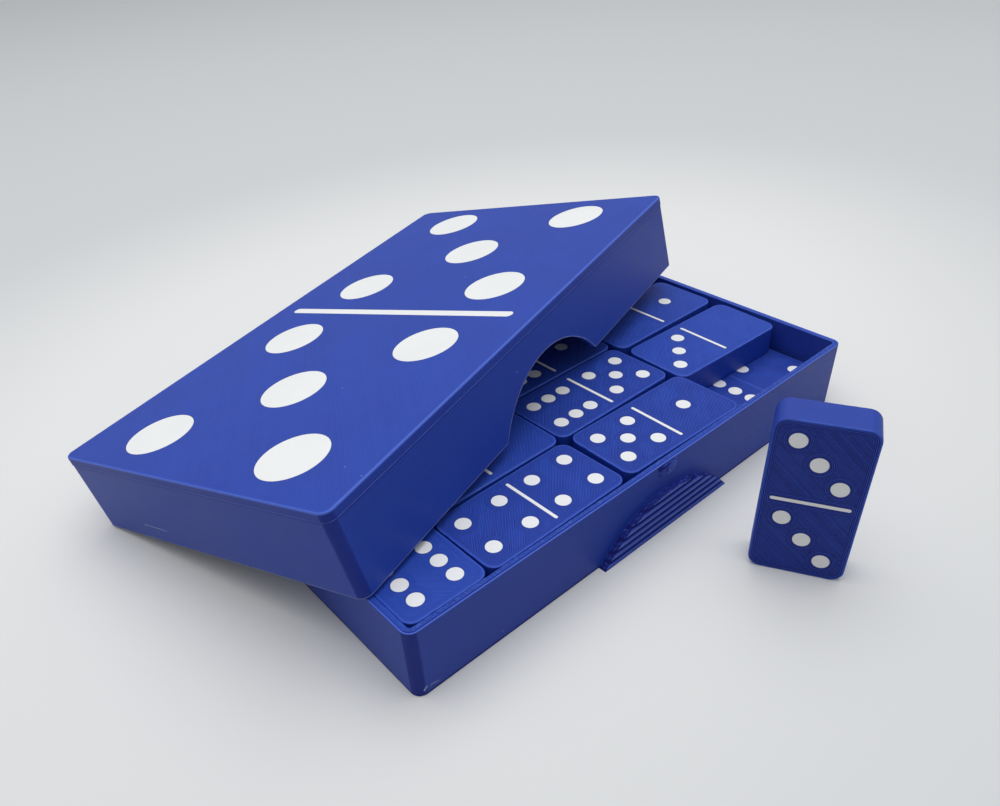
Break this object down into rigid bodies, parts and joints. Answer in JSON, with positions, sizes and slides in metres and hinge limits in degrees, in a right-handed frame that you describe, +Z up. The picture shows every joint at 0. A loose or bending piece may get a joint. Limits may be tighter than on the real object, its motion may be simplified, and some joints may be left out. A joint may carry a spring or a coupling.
{
  "type": "domino storage box",
  "caption": "Shallow tray with a lift-off lid shaped like a giant domino, holding two layers of loose rounded dominoes; one more stands beside it.",
  "frame": {"origin": "centre of the tray's flat underside, at the table", "axes": "+X along the tray, +Y from the pictured front to the back, +Z up"},
  "size_m": [0.2162, 0.2272, 0.0579],
  "materials": {
    "blue_box": "satin printed plastic with fine layer lines",
    "blue_domino": "satin printed plastic with fine infill lines",
    "white_inlay": "satin printed plastic, flush with the blue"
  },
  "bodies": {
    "tray": {"tray": "blue_box", "domino_0_0": "blue_domino", "domino_4_5": "blue_domino", "domino_1_1": "blue_domino", "domino_0_5": "blue_domino", "domino_2_2": "blue_domino", "domino_6_4": "blue_domino", "domino_2_5": "blue_domino", "domino_1_3": "blue_domino", "domino_0_6": "blue_domino", "domino_5_5": "blue_domino", "domino_1_2": "blue_domino", "domino_4_3": "blue_domino", "domino_6_6": "blue_domino", "domino_0_4": "blue_domino", "low_pips": "white_inlay", "low_bars": "white_inlay"},
    "lid": {"lid_shell": "blue_box", "lid_pips": "white_inlay", "lid_bar": "white_inlay"},
    "loose_6_3": {"domino_6_3": "blue_domino", "inlay_6_3": "white_inlay"},
    "loose_2_6": {"domino_2_6": "blue_domino", "inlay_2_6": "white_inlay"},
    "loose_4_4": {"domino_4_4": "blue_domino", "inlay_4_4": "white_inlay"},
    "loose_5_1": {"domino_5_1": "blue_domino", "inlay_5_1": "white_inlay"},
    "loose_2_0": {"domino_2_0": "blue_domino", "inlay_2_0": "white_inlay"},
    "loose_6_5": {"domino_6_5": "blue_domino", "inlay_6_5": "white_inlay"},
    "loose_3_0": {"domino_3_0": "blue_domino", "inlay_3_0": "white_inlay"},
    "loose_4_2": {"domino_4_2": "blue_domino", "inlay_4_2": "white_inlay"},
    "loose_6_1": {"domino_6_1": "blue_domino", "inlay_6_1": "white_inlay"},
    "loose_0_1": {"domino_0_1": "blue_domino", "inlay_0_1": "white_inlay"},
    "loose_5_3": {"domino_5_3": "blue_domino", "inlay_5_3": "white_inlay"},
    "loose_3_2": {"domino_3_2": "blue_domino", "inlay_3_2": "white_inlay"},
    "loose_1_4": {"domino_1_4": "blue_domino", "inlay_1_4": "white_inlay"},
    "loose_3_3": {"domino_3_3": "blue_domino", "inlay_3_3": "white_inlay"}
  },
  "joints": [
    {"name": "lid_lift", "type": "slide", "parent": "tray", "child": "lid", "axis": [0, 0, 1], "range_m": [0, 0.1]},
    {"name": "lift_6_3", "type": "slide", "parent": "tray", "child": "loose_6_3", "axis": [0, 0, 1], "range_m": [0, 0.0005]},
    {"name": "lift_2_6", "type": "slide", "parent": "tray", "child": "loose_2_6", "axis": [0, 0, 1], "range_m": [0, 0.0066]},
    {"name": "lift_4_4", "type": "slide", "parent": "tray", "child": "loose_4_4", "axis": [0, 0, 1], "range_m": [0, 0.0018]},
    {"name": "lift_5_1", "type": "slide", "parent": "tray", "child": "loose_5_1", "axis": [0, 0, 1], "range_m": [0, 0.06]},
    {"name": "lift_2_0", "type": "slide", "parent": "tray", "child": "loose_2_0", "axis": [0, 0, 1], "range_m": [0, 0.002]},
    {"name": "lift_6_5", "type": "slide", "parent": "tray", "child": "loose_6_5", "axis": [0, 0, 1], "range_m": [0, 0.0058]},
    {"name": "lift_3_0", "type": "slide", "parent": "tray", "child": "loose_3_0", "axis": [0, 0, 1], "range_m": [0, 0.06]},
    {"name": "lift_4_2", "type": "slide", "parent": "tray", "child": "loose_4_2", "axis": [0, 0, 1], "range_m": [0, 0.0148]},
    {"name": "lift_6_1", "type": "slide", "parent": "tray", "child": "loose_6_1", "axis": [0, 0, 1], "range_m": [0, 0.0061]},
    {"name": "lift_0_1", "type": "slide", "parent": "tray", "child": "loose_0_1", "axis": [0, 0, 1], "range_m": [0, 0.0064]},
    {"name": "lift_5_3", "type": "slide", "parent": "tray", "child": "loose_5_3", "axis": [0, 0, 1], "range_m": [0, 0.0088]},
    {"name": "lift_3_2", "type": "slide", "parent": "tray", "child": "loose_3_2", "axis": [0, 0, 1], "range_m": [0, 0.015]},
    {"name": "lift_1_4", "type": "slide", "parent": "tray", "child": "loose_1_4", "axis": [0, 0, 1], "range_m": [0, 0.001]},
    {"name": "topple_3_3", "type": "hinge", "parent": "tray", "child": "loose_3_3", "pos_m": [0.009, -0.0915, 0], "axis": [0.4756, -0.8796, 0], "range_deg": [0, 90]}
  ]
}
